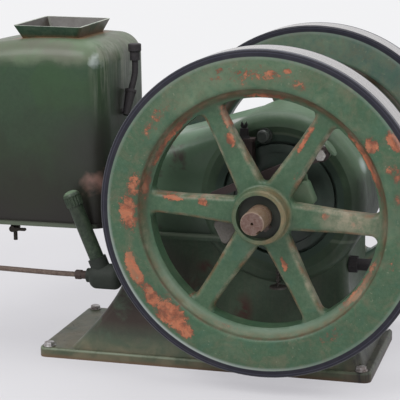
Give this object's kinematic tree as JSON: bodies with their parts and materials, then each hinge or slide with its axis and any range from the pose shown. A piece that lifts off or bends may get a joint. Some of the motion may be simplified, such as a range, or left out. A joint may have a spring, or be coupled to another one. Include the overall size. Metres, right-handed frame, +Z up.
{
  "type": "hit-and-miss engine",
  "caption": "Horizontal hit-and-miss stationary engine with a cooling hopper, spoked flywheels and a flared base.",
  "frame": {"origin": "centre of the base's bolt pattern on its underside", "axes": "+X along the engine from the cylinder head towards the flywheels, +Y from the governor side to the far side, +Z up"},
  "size_m": [1.021, 0.604, 0.6197],
  "materials": {
    "green_paint": "worn satin green paint over cast iron",
    "dark_green_paint": "oily dark green paint",
    "wheel_paint": "worn green paint with primer showing through",
    "rusty_steel": "dull steel with a brown rust film",
    "rusty_iron": "rough cast iron with brown rust",
    "black_fittings": "black malleable iron pipe fittings",
    "dull_brass": "dull dirty brass"
  },
  "bodies": {
    "engine": {"crankcase": "green_paint", "cylinder_block": "green_paint", "hopper": "green_paint", "hopper_mouth": "green_paint", "cylinder_head": "green_paint", "side_cover_near": "dark_green_paint", "side_cover_far": "dark_green_paint", "bearing_near": "dark_green_paint", "bearing_far": "dark_green_paint", "lever_stud": "rusty_steel", "spring_bracket": "dark_green_paint", "spring_rod": "rusty_steel", "speed_spring": "rusty_steel", "side_plug": "green_paint", "cup_bracket": "rusty_iron", "oil_cup": "black_fittings", "oiler_foot": "black_fittings", "oiler_tube": "black_fittings", "oiler_cap": "black_fittings", "fuel_tee": "black_fittings", "filler_pipe": "green_paint", "filler_cap": "green_paint", "fuel_nipple": "black_fittings", "fuel_nut": "rusty_steel", "fuel_line": "rusty_steel", "drain_cock": "dull_brass", "oil_filler_pipe": "black_fittings", "oil_filler_cup": "green_paint", "mixer": "dark_green_paint", "exhaust_outlet": "rusty_iron", "spark_plug": "rusty_steel", "rocker_bracket": "dark_green_paint", "rocker_arm": "rusty_iron", "valve_stem": "rusty_steel", "push_rod": "rusty_steel", "push_rod_guide": "dark_green_paint"},
    "crank": {"crankshaft": "rusty_steel", "flywheel_near": "wheel_paint", "flywheel_far": "wheel_paint", "shaft_key_near": "rusty_steel", "shaft_key_far": "rusty_steel", "governor_pin_upper": "rusty_steel", "governor_pin_lower": "rusty_steel"},
    "upper_weight": {"governor_weight_upper": "wheel_paint"},
    "lower_weight": {"governor_weight_lower": "rusty_iron"},
    "lever": {"governor_lever": "rusty_iron"},
    "drain_handle": {"drain_handle": "dull_brass"}
  },
  "joints": [
    {"name": "crank_spin", "type": "hinge", "parent": "engine", "child": "crank", "pos_m": [0.144, 0, 0.318], "axis": [0, 1, 0], "continuous": true},
    {"name": "upper_weight_swing", "type": "hinge", "parent": "crank", "child": "upper_weight", "pos_m": [0.19478, -0.178, 0.39472], "axis": [0, -1, 0], "range_deg": [0, 12], "stiffness_Nm_per_rad": 4, "springref_deg": -8.59},
    {"name": "lower_weight_swing", "type": "hinge", "parent": "crank", "child": "lower_weight", "pos_m": [0.09322, -0.178, 0.24128], "axis": [0, -1, 0], "range_deg": [0, 12]},
    {"name": "lever_swing", "type": "hinge", "parent": "engine", "child": "lever", "pos_m": [0.227, -0.14, 0.408], "axis": [0, 1, 0], "range_deg": [0, 6]},
    {"name": "drain_handle_turn", "type": "hinge", "parent": "engine", "child": "drain_handle", "pos_m": [-0.37, -0.105, 0.237], "axis": [0, 1, 0], "range_deg": [0, 90]}
  ],
  "couplings": [
    {"joint": "lower_weight_swing", "follows": "upper_weight_swing", "ratio": 1},
    {"joint": "lever_swing", "follows": "upper_weight_swing", "ratio": 0.4}
  ]
}
